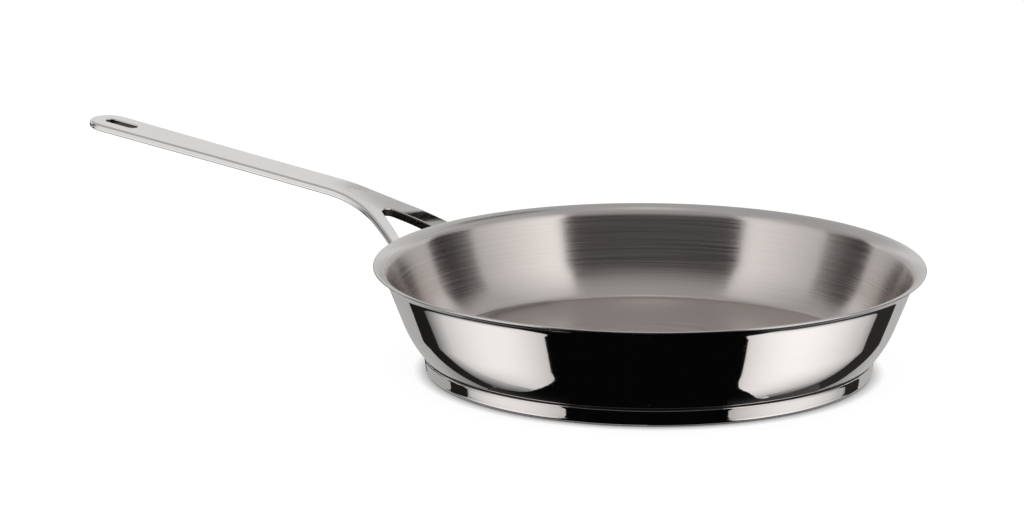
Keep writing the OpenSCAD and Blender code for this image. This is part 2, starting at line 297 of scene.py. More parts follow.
class SpinTree:
    """Geometry Nodes tree that spins a half outline about the Z axis."""

    NAME = "Spin half outline"

    def __init__(self) -> None:
        """Build the tree with its named inputs."""
        tree = bpy.data.node_groups.new(self.NAME, "GeometryNodeTree")
        face = tree.interface
        face.new_socket("Outline", in_out="INPUT", socket_type="NodeSocketGeometry")
        face.new_socket("Points", in_out="INPUT", socket_type="NodeSocketInt")
        face.new_socket("Segments", in_out="INPUT", socket_type="NodeSocketInt")
        for zone in Zone:
            face.new_socket(zone.name.capitalize(), in_out="INPUT",
                            socket_type="NodeSocketMaterial")
        face.new_socket("Spun", in_out="OUTPUT", socket_type="NodeSocketGeometry")
        self.tree = tree
        self._fill()

    def _math(self, operation: str, a: Any, b: Any) -> bpy.types.NodeSocket:
        """Result of a math node on a and b."""
        return add_node(self.tree, "ShaderNodeMath", {"operation": operation},
                        {0: a, 1: b}).outputs[0]

    def _fill(self) -> None:
        """Lay out a grid of segments by points, and roll it up."""
        tree = self.tree
        given = add_node(tree, "NodeGroupInput")
        points, segments = given.outputs["Points"], given.outputs["Segments"]
        rows = self._math("SUBTRACT", points, 1.0)
        grid = add_node(tree, "GeometryNodeMeshGrid", inputs={
            "Size X": segments, "Size Y": rows,
            "Vertices X": self._math("ADD", segments, 1.0), "Vertices Y": points})
        where = add_node(tree, "ShaderNodeSeparateXYZ",
                         inputs={0: add_node(tree, "GeometryNodeInputPosition").outputs[0]})
        column = self._math("ADD", where.outputs["X"], self._math("MULTIPLY", segments, 0.5))
        row = self._math("ROUND", self._math("ADD", where.outputs["Y"],
                                             self._math("MULTIPLY", rows, 0.5)), 0.0)
        angle = self._math("MULTIPLY", self._math("DIVIDE", column, segments), 2 * math.pi)
        spot = add_node(tree, "GeometryNodeSampleIndex", {"data_type": "FLOAT_VECTOR"}, {
            "Geometry": given.outputs["Outline"], "Index": row,
            "Value": add_node(tree, "GeometryNodeInputPosition").outputs[0]})
        zone = add_node(tree, "GeometryNodeSampleIndex", {"data_type": "FLOAT"}, {
            "Geometry": given.outputs["Outline"], "Index": row,
            "Value": add_node(tree, "GeometryNodeInputNamedAttribute", {"data_type": "FLOAT"},
                              {"Name": "zone"}).outputs["Attribute"]})
        flat = add_node(tree, "ShaderNodeSeparateXYZ", inputs={0: spot.outputs[0]})
        radius = flat.outputs["X"]
        spun = add_node(tree, "ShaderNodeCombineXYZ", inputs={
            "X": self._math("MULTIPLY", radius, self._math("COSINE", angle, 0.0)),
            "Y": self._math("MULTIPLY", radius, self._math("SINE", angle, 0.0)),
            "Z": flat.outputs["Z"]})
        stored = add_node(tree, "GeometryNodeStoreNamedAttribute",
                          {"data_type": "FLOAT", "domain": "POINT"},
                          {"Geometry": grid.outputs["Mesh"], "Name": "zone",
                           "Value": zone.outputs[0]})
        placed = add_node(tree, "GeometryNodeSetPosition",
                          inputs={"Geometry": stored.outputs[0], "Position": spun.outputs[0]})
        merged = add_node(tree, "GeometryNodeMergeByDistance",
                          inputs={"Geometry": placed.outputs[0], "Distance": 1e-6})
        smooth = add_node(tree, "GeometryNodeSetShadeSmooth",
                          inputs={"Geometry": merged.outputs[0]})
        whole = add_node(tree, "GeometryNodeRealizeInstances",
                         inputs={"Geometry": smooth.outputs[0]}).outputs[0]
        read = add_node(tree, "GeometryNodeInputNamedAttribute", {"data_type": "FLOAT"},
                        {"Name": "zone"}).outputs["Attribute"]
        for level in Zone:
            chosen = self._math("GREATER_THAN", read, float(level) - 0.5)
            whole = add_node(tree, "GeometryNodeSetMaterial", inputs={
                "Geometry": whole, "Selection": chosen,
                "Material": given.outputs[level.name.capitalize()]}).outputs[0]
        add_node(tree, "NodeGroupOutput", inputs={0: whole})


def face_out(shape: bmesh.types.BMesh) -> None:
    """Turn the faces of a closed shape outwards.

    Args:
        shape: The shape, changed in place.
    """
    bmesh.ops.recalc_face_normals(shape, faces=shape.faces)
    if shape.calc_volume(signed=True) < 0:
        bmesh.ops.reverse_faces(shape, faces=shape.faces)


def bake_nodes(obj: bpy.types.Object, name: str) -> bpy.types.Object:
    """Turn an object's modifiers into a plain mesh object, with its faces outwards.

    Args:
        obj: Object with a live Geometry Nodes modifier. It is removed.
        name: Name of the plain object.

    Returns:
        The plain object, at the origin.
    """
    graph = bpy.context.evaluated_depsgraph_get()
    mesh = bpy.data.meshes.new_from_object(obj.evaluated_get(graph), depsgraph=graph)
    obj.modifiers.clear()
    bpy.data.objects.remove(obj)
    shape = bmesh.new()
    shape.from_mesh(mesh)
    bmesh.ops.remove_doubles(shape, verts=shape.verts, dist=1e-7)
    bmesh.ops.dissolve_degenerate(shape, edges=shape.edges, dist=1e-8)
    face_out(shape)
    shape.to_mesh(mesh)
    shape.free()
    mesh.name = name
    piece = bpy.data.objects.new(name, mesh)
    bpy.context.scene.collection.objects.link(piece)
    return piece


def set_inputs(modifier: bpy.types.Modifier, values: Mapping[str, Any]) -> None:
    """Set a Geometry Nodes modifier's inputs by each socket's identifier.

    Args:
        modifier: The modifier, with its tree in place.
        values: Value by the socket's name.
    """
    for item in modifier.node_group.interface.items_tree:
        if item.in_out == "INPUT" and item.name in values:
            modifier[item.identifier] = values[item.name]


def spin(name: str, outline: Sequence[tuple[Vector, Zone]], finishes: Mapping[Zone, SteelFinish],
         segments: int) -> bpy.types.Object:
    """Spin a half outline into a closed piece.

    Args:
        name: Name of the piece.
        outline: Points as radius and height in millimetres, each with its zone.
        finishes: Finish of each zone in use.
        segments: Steps round the axis.

    Returns:
        The plain piece.
    """
    mesh = bpy.data.meshes.new(name + "_outline")
    mesh.from_pydata([(p[0] * MM, 0.0, p[1] * MM) for p, _ in outline],
                     [(i, i + 1) for i in range(len(outline) - 1)], [])
    zone = mesh.attributes.new("zone", "FLOAT", "POINT")
    zone.data.foreach_set("value", [float(z) for _, z in outline])
    obj = bpy.data.objects.new(name + "_outline", mesh)
    bpy.context.scene.collection.objects.link(obj)
    tree = bpy.data.node_groups.get(SpinTree.NAME) or SpinTree().tree
    modifier = obj.modifiers.new("Spin", "NODES")
    modifier.node_group = tree
    plain = next(iter(finishes.values()))
    set_inputs(modifier, {"Points": len(outline), "Segments": segments,
                          **{z.name.capitalize(): finishes.get(z, plain).material()
                             for z in Zone}})
    return bake_nodes(obj, name)


@dataclass
class PanBody:
    """The drawn steel pan, with its flared pouring rim. Sizes are in millimetres.

    The fields from overhang to softened shape the sheet's outline: how far its
    corner stands outside the base, the width and height that the flare and the
    corner take up, the least lean of the corner's end and how far it leans past
    the wall, the lean at which the flare is first taken to start, and the share
    of the flare that takes the softened finish.
    """

    lip_diameter: float = 280.0
    height: float = 54.4
    sheet: float = 1.2
    bow: float = 4.2
    flare: float = 8.0
    lip_lean: float = 79.0
    corner: float = 4.7
    base_radius: float = 114.3
    base_height: float = 8.4
    segments: int = 320
    overhang: float = 0.9
    room: Point2 = (6.0, 5.0)
    least_lean: float = 40.0
    past_wall: float = 14.0
    flare_lean: float = 22.0
    softened: float = 0.22
    piece: bpy.types.Object | None = None

    def __post_init__(self) -> None:
        """Work out the arcs and the straight wall of the sheet's outer face."""
        lip_r = self.lip_diameter / 2
        lean = math.degrees(math.atan((lip_r - self.room[0] - self.base_radius)
                                      / (self.height - self.base_height - self.room[1])))
        self.corner_lean = max(self.least_lean, lean + self.past_wall)
        self.corner_c = Vector((self.base_radius + self.overhang
                                - self.corner * math.cos(math.radians(self.corner_lean)),
                                self.base_height + self.corner))
        corner_end = self.corner_c + self.corner * out_of(self.corner_lean)
        self.lip_c = Vector((lip_r - self.sheet / 2, self.height - self.sheet / 2))
        self.flare_c = self.lip_c + (self.flare + self.sheet / 2) * out_of(self.lip_lean)
        chord = self.flare_c - self.flare * out_of(self.flare_lean) - corner_end
        self.wall_lean = math.degrees(math.atan(chord[0] / chord[1])) - self.bow
        top = self.flare_c - self.flare * out_of(self.wall_lean)
        bow = (top - corner_end).dot(out_of(self.wall_lean))
        self.belly = bow / (1 - math.cos(math.radians(self.corner_lean - self.wall_lean)))
        self.belly_c = corner_end - self.belly * out_of(self.corner_lean)
        self.wall_low = self.belly_c + self.belly * out_of(self.wall_lean)

    def wall_radius(self, height: float) -> float:
        """Radius of the straight wall's outer face at a height."""
        return self.wall_low[0] + (height - self.wall_low[1]) * math.tan(
            math.radians(self.wall_lean))

    def face(self, inset: float) -> list[Vector]:
        """Points of one face of the sheet, from the floor's middle to the lip.

        Args:
            inset: Distance in from the outer face.

        Returns:
            Points as radius and height.
        """
        floor = Vector((0.0, self.base_height + inset))
        corner = arc(self.corner_c, self.corner - inset, 90, self.corner_lean, 10)
        belly = arc(self.belly_c, self.belly - inset, self.corner_lean, self.wall_lean, 16)
        flare = arc(self.flare_c, self.flare + inset, self.wall_lean, self.lip_lean, 16, -1)
        return [floor, *between(floor, corner[0], 16), *corner, *belly[1:],
                *between(belly[-1], flare[0], 20), *flare]

    def outline(self) -> list[tuple[Vector, Zone]]:
        """Close the half outline of the sheet.

        Returns:
            Points as radius and height, each with its zone.
        """
        outer, inner = self.face(0.0), self.face(self.sheet)
        rim = arc(self.lip_c, self.sheet / 2, self.lip_lean, self.lip_lean - 180, 12)[1:-1]
        count = sum(1 for p in inner if p[1] > self.lip_c[1] - self.flare * self.softened)
        points = [(p, Zone.OUTSIDE) for p in outer] + [(p, Zone.LIP) for p in rim]
        back = list(reversed(inner))
        points += [(p, Zone.LIP if i < count else Zone.INSIDE) for i, p in enumerate(back)]
        return points

    def build(self) -> None:
        """Spin the sheet and dress its three zones."""
        self.piece = spin("pan_sheet", self.outline(),
                          {Zone.OUTSIDE: MIRROR_STEEL, Zone.LIP: LIP_STEEL,
                           Zone.INSIDE: SATIN_STEEL}, self.segments)

    def place(self) -> None:
        """Hand the piece to the frame."""
        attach(self.piece, "root")
        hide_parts("pan_body")


@dataclass
class HeatBase:
    """The sealed heat-spreading base under the pan. Sizes are in millimetres.

    The seam is the outer ring of the braze, from seam_inside to the rim. It laps
    the disc and the pan a little, and its face is hollow.
    """

    pan: PanBody
    sheet: float = 0.8
    braze: float = 0.2
    foot: float = 2.4
    taper: float = 0.8
    inset: float = 0.1
    seam_inside: float = 60.0
    seam_lap: Point2 = (0.04, 0.02)
    seam_set_back: float = 0.16
    seam_hollow: float = 0.18
    segments: int = 288
    capsule: bpy.types.Object | None = None
    seam: bpy.types.Object | None = None

    def __post_init__(self) -> None:
        """Work out the capsule's side and its top."""
        self.side_top = self.pan.base_radius - self.inset
        self.side_low = self.side_top - self.taper
        self.top = self.pan.base_height - self.braze
        self.rim = self.sheet / 2

    def capsule_outline(self) -> list[tuple[Vector, Zone]]:
        """Draw the capsule's outer face, rolled rim and inner face.

        Returns:
            Points as radius and height, each with its zone.
        """
        foot_c = Vector((self.side_low - self.foot, self.foot))
        rim_c = Vector((self.side_top - self.rim, self.top - self.rim))
        middle = Vector((0.0, 0.0))
        foot = arc(foot_c, self.foot, 90, 0, 12)
        side = [Vector((self.side_low, self.foot)), Vector((self.side_top, rim_c[1]))]
        rim = arc(rim_c, self.rim, 0, -180, 10)
        inner_low = Vector((self.side_low - self.sheet, self.foot))
        inner_foot = arc(foot_c, self.foot - self.sheet, 0, 90, 8)
        inner_mid = Vector((0.0, self.sheet))
        under = [middle, *between(middle, foot[0], 20)]
        points = [(p, Zone.INSIDE) for p in under]
        points += [(p, Zone.OUTSIDE) for p in (*foot, *between(side[0], side[1], 5), *rim)]
        points += [(p, Zone.OUTSIDE) for p in (inner_low, *inner_foot[1:])]
        points += [(p, Zone.OUTSIDE) for p in between(inner_foot[-1], inner_mid, 6)]
        return points + [(inner_mid, Zone.OUTSIDE)]

    def seam_outline(self) -> list[tuple[Vector, Zone]]:
        """Draw the braze's ring, hollowed slightly between the capsule and the pan.

        Returns:
            Points as radius and height, each with its zone.
        """
        edge = self.side_top - self.rim
        bottom = self.top - self.seam_lap[0]
        under_pan = arc(self.pan.corner_c, self.pan.corner, 90, 42, 12)
        meet = min(under_pan, key=lambda p: abs(p[0] - edge + self.inset))
        upper = [p for p in under_pan if p[0] <= meet[0]]
        low = Vector((edge - self.seam_lap[1], bottom))
        hollow = [Vector((edge - self.seam_set_back - self.seam_hollow * math.sin(math.pi * t / 6),
                          self.top + (upper[-1][1] - self.top) * t / 6)) for t in range(1, 6)]
        floor = Vector((self.seam_inside, bottom))
        roof = Vector((self.seam_inside, self.pan.base_height + self.seam_lap[1]))
        points = [floor, Vector((edge - 2, bottom)), low, *hollow, *reversed(upper), roof, floor]
        return [(p, Zone.OUTSIDE) for p in points]

    def build(self) -> None:
        """Spin the capsule and the seam."""
        self.capsule = spin("base_shell", self.capsule_outline(),
                            {Zone.OUTSIDE: MIRROR_STEEL, Zone.LIP: MIRROR_STEEL,
                             Zone.INSIDE: FACED_STEEL}, self.segments)
        self.seam = spin("base_seam", self.seam_outline(), {Zone.OUTSIDE: BRAZE_METAL},
                         self.segments)

    def place(self) -> None:
        """Hand both pieces to the frame, and dress the disc inside."""
        for piece, node in ((self.capsule, "base_capsule"), (self.seam, "base_braze")):
            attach(piece, "root")
            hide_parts(node)
        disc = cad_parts["base_core"]
        disc.data.materials.clear()
        disc.data.materials.append(ROLLED_ALUMINIUM.material())


# Forked handle


@dataclass
class Station:
    """A cut across half of the handle, seen from above."""

    inner: Vector
    outer: Vector
    inner_out: Vector | None
    outer_out: Vector
    lean: float = 0.0


@dataclass
class ForkedHandle:
    """Cast handle whose two arms bend down to the pan's wall. Sizes are in millimetres.

    The handle is worked out pointing along +X and turned round at the end. Its
    outer edges are rounder than the CAD's bevel, which gives the fine dark and
    bright lines along its sides. Both arms start inside the pan and are then cut
    to its wall. The fields from land to beside_slot place the grid: how far its
    first row on a side stands from the rounding, how deep the feet end inside
    the wall's face, where the outer and inner edges of an arm start, the clear
    space at the ends of the slot and the crotch, how strongly the cuts bunch
    towards the neck, and where the slot's near end falls on the outer path.
    """

    pan: PanBody
    reach: float = 352.0
    shaft: float = 22.0
    tip: float = 24.6
    thick: float = 3.8
    slope: float = 6.2
    rise: float = 17.8
    bend_start: float = 59.0
    bend_radius: float = 91.0
    bend: float = 32.0
    skew: float = 21.8
    arm: float = 9.3
    spread: float = 27.7
    neck: float = 46.0
    hollow: float = 60.0
    crotch: float = 5.4
    slot: Point2 = (19.5, 6.6)
    slot_in: float = 18.2
    edge: float = 1.6
    inner_edge: float = 0.5
    blend: float = 5.0
    widen_share: float = 0.56
    inner_turn: float = 3.5
    foot_in: float = 4.0
    round_steps: int = 6
    across: int = 9
    land: float = 0.25
    foot_sunk: float = 0.35
    arm_start: Point2 = (112.0, 114.0)
    clear: float = 1.2
    bunch: float = 1.35
    beside_slot: Point2 = (3.80, 3.85)
    piece: bpy.types.Object | None = None
    seams: list[list[Vector]] = field(default_factory=list)

    def __post_init__(self) -> None:
        """Work out the plan's tangent points and the frame of the bend."""
        lip_r = self.pan.lip_diameter / 2
        self.origin = Vector((lip_r + self.bend_start, 0.0, self.pan.height + self.rise))
        self.half = self.shaft / 2
        self.tip_r = self.tip / 2
        self.tip_x = self.reach - self.tip_r
        self.widen_x = lip_r + self.widen_share * (self.reach - lip_r)
        s = math.radians(self.spread)
        self.neck_p = Vector((lip_r + self.neck, self.half))
        self.arm_p = self.neck_p + self.hollow * Vector((-math.sin(s), 1 - math.cos(s)))
        self.inner_angle = math.radians(self.spread + self.inner_turn)
        foot_x = lip_r + self.foot_in
        foot_y = self.arm_p[1] + (self.arm_p[0] - foot_x) * math.tan(s) - self.arm / math.cos(s)
        self.apex_x = foot_x + foot_y / math.tan(self.inner_angle)
        self.crotch_x = self.apex_x - self.crotch / math.sin(self.inner_angle)

    def drop(self, past: float, deep: float) -> float:
        """Depth of a layer of the blade under the shaft's plane.

        Args:
            past: Distance past the bend line.
            deep: Depth of the layer under the top face.

        Returns:
            Depth, measured square to the shaft's plane.
        """
        radius, turn = self.bend_radius - deep, math.radians(self.bend)
        if past <= 0:
            return deep
        if past < radius * math.sin(turn):
            return self.bend_radius - math.sqrt(radius ** 2 - past ** 2)
        return (self.bend_radius - radius * math.cos(turn)
                + (past - radius * math.sin(turn)) * math.tan(turn))

    def lift(self, x: float, y: float, deep: float) -> Vector:
        """Point of a layer of the blade above a point of the plan.

        Args:
            x: Distance from the pan's axis along the handle.
            y: Distance to the side.
            deep: Depth of the layer under the top face.

        Returns:
            The point, still pointing along +X.
        """
        slope, skew = math.radians(self.slope), math.radians(self.skew)
        aside = max(abs(y), (y * y / self.blend + self.blend) / 2 if abs(y) < self.blend else 0.0)
        down = deep
        for _ in range(5):
            along = (x - self.origin[0] - down * math.sin(slope)) / math.cos(slope)
            down = self.drop(-along * math.cos(skew) - aside * math.sin(skew), deep)
        height = self.origin[2] + along * math.sin(slope) - down * math.cos(slope)
        return Vector((x, y, height))

    def outer_path(self, t: float) -> tuple[Vector, Vector]:
        """Point and outward normal of the outer edge's plan.

        Args:
            t: 0 to 1 on the arm, to 2 on the hollow, to 3 on the shaft, to 4 on
                the widening, to 5 round the tip.

        Returns:
            The point and the unit normal.
        """
        s = math.radians(self.spread)
        if t <= 1:
            length = (self.arm_p[0] - self.arm_start[0]) / math.cos(s)
            far = self.arm_p + length * Vector((-math.cos(s), math.sin(s)))
            return far.lerp(self.arm_p, t), Vector((math.sin(s), math.cos(s)))
        if t <= 2:
            a = s * (2 - t)
            centre = self.neck_p + Vector((0, self.hollow))
            normal = Vector((math.sin(a), math.cos(a)))
            return centre - self.hollow * normal, normal
        if t <= 3:
            return self.neck_p.lerp(Vector((self.widen_x, self.half)), t - 2), Vector((0, 1))
        if t <= 4:
            start, end = Vector((self.widen_x, self.half)), Vector((self.tip_x, self.tip_r))
            side = (end - start).normalized()
            return start.lerp(end, t - 3), Vector((-side[1], side[0]))
        a = math.pi / 2 * (5 - t)
        normal = Vector((math.cos(a), math.sin(a)))
        return Vector((self.tip_x, 0)) + self.tip_r * normal, normal

    def stations(self) -> list[Station]:
        """Cuts across the half handle, from the crotch's tangent point to the tip.

        Returns:
            Stations past the straight arm, in order.
        """
        cuts: list[Station] = []

        def add(t: float, inner: Vector, inner_out: Vector | None, lean: float = 0.0) -> None:
            """Add the cut from an inner point to the outer path at t."""
            point, normal = self.outer_path(t)
            cuts.append(Station(inner, point, inner_out, normal, lean))

        # Round the crotch between the arms.
        turn = math.pi / 2 - self.inner_angle
        for i in range(10):
            a = math.pi / 2 - turn + turn * i / 9
            out = Vector((math.sin(a), math.cos(a)))
            add(1 + 0.5 * i / 9, Vector((self.crotch_x, 0)) + self.crotch * out, -out)
        # Over the neck and along the shaft, where both halves meet at the middle line.
        x_0 = self.crotch_x + self.crotch + self.clear
        for i in range(1, 9):
            add(1.5 + 0.5 * i / 8, Vector((x_0 + (self.neck_p[0] - x_0) * i / 8, 0)), None)
        for i in range(1, 13):
            f = (i / 12) ** self.bunch
            add(2 + f, Vector((self.neck_p[0] + (self.widen_x - self.neck_p[0]) * f, 0)), None)
        slot_mid = self.reach - self.slot_in
        half_l, r = self.slot[0] / 2, self.slot[1] / 2
        x_1, x_2 = slot_mid - half_l, slot_mid + half_l
        near, straight = self.beside_slot
        for i in range(1, 9):
            add(3 + (near - 3) * i / 8,
                Vector((self.widen_x + (x_1 - self.clear - self.widen_x) * i / 8, 0)), None)
        # Round the slot's near end, along its side and round its far end.
        for i in range(9):
            a = math.pi / 2 * i / 8
            out = Vector((math.cos(a), -math.sin(a)))
            add(near + (straight - near) * i / 8, Vector((x_1 + r, 0)) - r * out, out, 1.0)
        for i in range(1, 6):
            add(straight + (4 - straight) * i / 5,
                Vector((x_1 + r + (self.slot[0] - 2 * r) * i / 5, r)), Vector((0, -1)), 1.0)
        for i in range(1, 11):
            a = math.pi / 2 * i / 10
            out = Vector((-math.sin(a), -math.cos(a)))
            add(4 + 0.5 * i / 10, Vector((x_2 - r, 0)) - r * out, out, 1.0)
        # Over the tip.
        for i in range(1, 11):
            add(4.5 + 0.5 * i / 10, Vector((x_2 + self.clear + 2.0 * i / 10, 0)), None)
        return cuts

    def ring(self, cut: Station) -> list[tuple[float, float, float]]:
        """Plan points and depths round a cut.

        Args:
            cut: The station.

        Returns:
            Points as x, y and depth: the top from the inside out, the outer
            edge, the bottom back, and the inner edge.
        """
        e, e_in, steps = self.edge, self.inner_edge, self.round_steps
        inner_out = cut.inner_out or Vector((0, 0))
        a, b = cut.inner - inner_out * e_in, cut.outer - cut.outer_out * e
        span = max((b - a).length, 0.5)
        tight = min(0.3 / span, 0.1)
        shares = [0.0, tight] + [tight + (1 - 2 * tight) * i / (self.across - 1)
                                 for i in range(1, self.across - 1)] + [1 - tight, 1.0]
        top = [(*a.lerp(b, f), 0.0) for f in shares]
        turns = [math.pi / 2 * i / steps for i in range(1, steps + 1)]
        outer = [(*(cut.outer - cut.outer_out * e * (1 - math.sin(q))), e * (1 - math.cos(q)))
                 for q in turns]
        inner = [(*(cut.inner - inner_out * e_in * (1 - math.sin(q))), e_in * (1 - math.cos(q)))
                 for q in turns]
        walls = [[(*p, r + self.land), (*p, self.thick - r - self.land)]
                 for p, r in ((cut.outer, e), (cut.inner, e_in))]

        def below(points: Sequence[Point3]) -> list[Point3]:
            """Mirror points of the top to the bottom, in reverse order."""
            return [(x, y, self.thick - d) for x, y, d in reversed(points)]

        loop = [*top, *outer, *walls[0], *below(outer), *below(top), *reversed(below(inner)),
                *reversed(walls[1]), *reversed(inner)]
        return [(x + cut.lean * d * math.sin(math.radians(self.slope)), y, d) for x, y, d in loop]

    def arm_cut(self, t: float) -> Station:
        """Cut across the straight arm.

        Args:
            t: 0 inside the pan, to 1 at the crotch.

        Returns:
            The cut.
        """
        point, normal = self.outer_path(t)
        a = self.inner_angle
        inner_out = -Vector((math.sin(a), math.cos(a)))
        end = Vector((self.crotch_x, 0)) - self.crotch * inner_out
        length = (end[0] - self.arm_start[1]) / math.cos(a)
        far = end + length * Vector((-math.cos(a), math.sin(a)))
        return Station(far.lerp(end, t), point, inner_out, normal)

    def foot_share(self, column: int, inside: float) -> float:
        """How far along the arm a column of the grid meets the pan's wall.

        Args:
            column: Index in the ring.
            inside: Distance that the column ends inside the wall's face.

        Returns:
            The arm's parameter t, found by halving.
        """
        low, high = 0.0, 1.0
        for _ in range(40):
            mid = (low + high) / 2
            p = self.lift(*self.ring(self.arm_cut(mid))[column])
            if math.hypot(p[0], p[1]) < self.pan.wall_radius(p[2]) - inside:
                low = mid
            else:
                high = mid
        return high

    def build(self) -> None:
        """Lay the grid over both halves of the plan and bend it."""
        cuts = self.stations()
        columns = len(self.ring(cuts[0]))
        feet = [self.foot_share(c, self.foot_sunk) for c in range(columns)]
        seam = [self.foot_share(c, 0.0) for c in range(columns)]
        steps = 16
        rows: list[list[Vector]] = []
        for i in range(steps):
            f = i / steps
            rows.append([self.lift(*self.ring(self.arm_cut(t + (1 - t) * f))[c])
                         for c, t in enumerate(feet)])
        rows += [[self.lift(*p) for p in self.ring(cut)] for cut in cuts]
        real = [True] * steps + [cut.inner_out is not None for cut in cuts]
        flat = 2 * (self.across + 2) + 2 * self.round_steps + 2
        # The inner walls and lower inner rounding of the slot and the arms take the darker finish,
        # which is painted shade in those recesses.
        shade_painted_columns = range(flat + 1, columns - self.round_steps)
        shape = bmesh.new()
        for side in (-1, 1):
            grid = [[shape.verts.new((-p[0] * MM, side * p[1] * MM, p[2] * MM)) for p in row]
                    for row in rows]
            for i in range(len(rows) - 1):
                closed = real[i] and real[i + 1]
                for c in range(columns if closed else flat - 1):
                    d = (c + 1) % columns
                    quad = shape.faces.new((grid[i][c], grid[i][d], grid[i + 1][d],
                                            grid[i + 1][c]))
                    quad.material_index = int(c in shade_painted_columns)
            shape.faces.new(grid[0])
            self.seams.append([Vector((-p[0], side * p[1], p[2])) for p in (
                self.lift(*self.ring(self.arm_cut(t))[c]) for c, t in enumerate(seam))])
        bmesh.ops.remove_doubles(shape, verts=shape.verts, dist=2e-6)
        bmesh.ops.dissolve_degenerate(shape, edges=shape.edges, dist=1e-7)
        loose = [v for v in shape.verts if not v.link_faces]
        bmesh.ops.delete(shape, geom=loose, context="VERTS")
        face_out(shape)
        mesh = bpy.data.meshes.new("forked_handle")
        shape.to_mesh(mesh)
        shape.free()
        for face in mesh.polygons:
            face.use_smooth = True
        for finish in (CAST_STEEL, SHADE_PAINTED_CASTING):
            mesh.materials.append(finish.material())
        self.piece = bpy.data.objects.new("forked_handle", mesh)
        bpy.context.scene.collection.objects.link(self.piece)

    def place(self) -> None:
        """Hand the piece to the frame."""
        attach(self.piece, "root")
        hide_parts("handle")


class BeadTree:
    """Geometry Nodes tree that runs a rippled weld bead along a closed seam."""

    NAME = "Weld bead on seam"

    def __init__(self) -> None:
        """Build the tree with its named inputs."""
        tree = bpy.data.node_groups.new(self.NAME, "GeometryNodeTree")
        face = tree.interface
        face.new_socket("Seam", in_out="INPUT", socket_type="NodeSocketGeometry")
        for name in ("Radius", "Step", "Ripple"):
            face.new_socket(name, in_out="INPUT", socket_type="NodeSocketFloat")
        face.new_socket("Finish", in_out="INPUT", socket_type="NodeSocketMaterial")
        face.new_socket("Bead", in_out="OUTPUT", socket_type="NodeSocketGeometry")
        given = add_node(tree, "NodeGroupInput")
        path = add_node(tree, "GeometryNodeMeshToCurve", inputs={0: given.outputs["Seam"]})
        even = add_node(tree, "GeometryNodeResampleCurve", {"mode": "COUNT"},
                        {"Curve": path.outputs[0], "Count": 150})
        place = add_node(tree, "GeometryNodeInputPosition").outputs[0]
        eased = add_node(tree, "GeometryNodeBlurAttribute", {"data_type": "FLOAT_VECTOR"},
                         {"Value": place, "Iterations": 26})
        bent = add_node(tree, "GeometryNodeSetPosition",
                        inputs={"Geometry": even.outputs[0], "Position": eased.outputs[0]})
        length = add_node(tree, "GeometryNodeSplineParameter").outputs["Length"]
        beat = add_node(tree, "ShaderNodeMath", {"operation": "DIVIDE"},
                        {0: length, 1: given.outputs["Step"]})
        phase = add_node(tree, "ShaderNodeMath", {"operation": "MULTIPLY"},
                         {0: beat.outputs[0], 1: 2 * math.pi})
        swing = add_node(tree, "ShaderNodeMath", {"operation": "SINE"}, {0: phase.outputs[0]})
        uneven = add_node(tree, "ShaderNodeTexNoise", {"noise_dimensions": "3D"},
                          {"Scale": 450.0, "Detail": 1.0})
        mixed = add_node(tree, "ShaderNodeMath", {"operation": "ADD"},
                         {0: swing.outputs[0], 1: uneven.outputs[0]})
        swell = add_node(tree, "ShaderNodeMath", {"operation": "MULTIPLY_ADD"},
                         {0: mixed.outputs[0], 1: given.outputs["Ripple"], 2: 1.0})
        radius = add_node(tree, "ShaderNodeMath", {"operation": "MULTIPLY"},
                          {0: swell.outputs[0], 1: given.outputs["Radius"]})
        circle = add_node(tree, "GeometryNodeCurvePrimitiveCircle", {"mode": "RADIUS"},
                          {"Resolution": 14, "Radius": 1.0})
        tube = add_node(tree, "GeometryNodeCurveToMesh", inputs={
            "Curve": bent.outputs[0], "Profile Curve": circle.outputs[0],
            "Scale": radius.outputs[0]})
        smooth = add_node(tree, "GeometryNodeSetShadeSmooth",
                          inputs={"Geometry": tube.outputs[0]})
        whole = add_node(tree, "GeometryNodeRealizeInstances",
                         inputs={"Geometry": smooth.outputs[0]})
        dressed = add_node(tree, "GeometryNodeSetMaterial", inputs={
            "Geometry": whole.outputs[0], "Material": given.outputs["Finish"]})
        add_node(tree, "NodeGroupOutput", inputs={0: dressed.outputs[0]})
        self.tree = tree


@dataclass
class WeldBeads:
    """The two beads that join the arms' feet to the wall. Sizes are in millimetres."""

    seams: list[list[Vector]]
    radius: float = 1.05
    step: float = 1.1
    ripple: float = 0.07
    pieces: dict[str, bpy.types.Object] = field(default_factory=dict)

    def build(self) -> None:
        """Run a bead along each seam."""
        tree = BeadTree().tree
        for seam, node in zip(self.seams, ("weld_right", "weld_left")):
            mesh = bpy.data.meshes.new(node + "_seam")
            count = len(seam)
            mesh.from_pydata([tuple(p * MM) for p in seam],
                             [(i, (i + 1) % count) for i in range(count)], [])
            obj = bpy.data.objects.new(node + "_seam", mesh)
            bpy.context.scene.collection.objects.link(obj)
            modifier = obj.modifiers.new("Bead", "NODES")
            modifier.node_group = tree
            set_inputs(modifier, {"Radius": self.radius * MM, "Step": self.step * MM,
                                  "Ripple": self.ripple, "Finish": WELD_STEEL.material()})
            self.pieces[node] = bake_nodes(obj, node + "_bead")

    def place(self) -> None:
        """Hand both beads to the frame."""
        for node, piece in self.pieces.items():
            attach(piece, "root")
            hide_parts(node)


# Studio


class Side(Enum):
    """Where a panel hangs."""

    ABOVE = 1
    BELOW = -1


